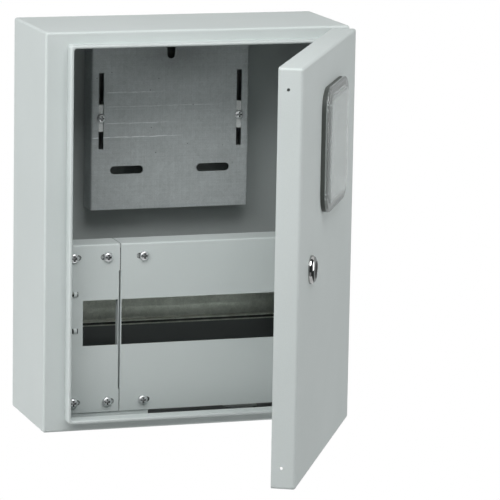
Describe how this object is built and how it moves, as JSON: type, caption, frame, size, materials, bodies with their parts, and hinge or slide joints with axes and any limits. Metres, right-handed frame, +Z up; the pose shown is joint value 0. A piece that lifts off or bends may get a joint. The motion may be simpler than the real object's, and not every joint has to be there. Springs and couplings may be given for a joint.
{
  "type": "electrical enclosure",
  "caption": "Wall-mounted sheet-steel enclosure with a hinged locking door and window, an adjustable meter plate, a rail for modular devices and screwed covers with slots.",
  "frame": {"origin": "middle of the outside of the back wall, at the centre of the four wall-fixing holes", "axes": "+Z up, +Y into the wall, so the front faces -Y, and +X to the right seen from the front"},
  "size_m": [0.3115, 0.4011, 0.397],
  "materials": {
    "paint": "fine powder coat",
    "galvanised": "galvanised",
    "zinc": "zinc plated",
    "screw": "bright zinc plated",
    "chrome": "polished",
    "clear": "clear",
    "retainer": "moulded",
    "rubber": "matt",
    "foam": "foam"
  },
  "bodies": {
    "enclosure": {"enclosure_body": "paint", "cable_grommets": "rubber", "hinge_leaf_lower": "paint", "hinge_leaf_upper": "paint", "hinge_pin_lower": "zinc", "hinge_pin_upper": "zinc", "meter_bracket_left": "galvanised", "meter_bracket_right": "galvanised", "meter_plate_screws": "screw", "din_rail": "galvanised", "din_rail_bracket_left": "galvanised", "din_rail_bracket_right": "galvanised", "din_rail_screws": "screw", "narrow_cover": "paint", "wide_cover": "paint", "cover_screws": "screw", "cover_bracket_bottom_left": "paint", "cover_bracket_bottom_right": "paint", "cover_bracket_top_left": "paint", "cover_bracket_top_right": "paint"},
    "meter_plate": {"meter_plate": "galvanised"},
    "door": {"door": "paint", "door_seal": "foam", "door_hinge_eye_lower": "zinc", "door_hinge_eye_upper": "zinc", "window": "clear", "window_seal": "rubber", "window_retainer": "retainer", "lock_body": "chrome", "lock_nut": "zinc"},
    "lock": {"lock_plug": "chrome", "lock_cam": "zinc", "lock_cam_screw": "zinc"}
  },
  "joints": [
    {"name": "door_swing", "type": "hinge", "parent": "enclosure", "child": "door", "pos_m": [0.1445, -0.136, 0], "axis": [0, 0, 1], "range_deg": [-61.4, 53.6]},
    {"name": "lock_turn", "type": "hinge", "parent": "door", "child": "lock", "pos_m": [0.04007, -0.34843, 0], "axis": [-0.878, 0.4787, 0], "range_deg": [0, 90]},
    {"name": "meter_plate_slide", "type": "slide", "parent": "enclosure", "child": "meter_plate", "axis": [0, 0, 1], "range_m": [-0.04, 0.007]}
  ]
}
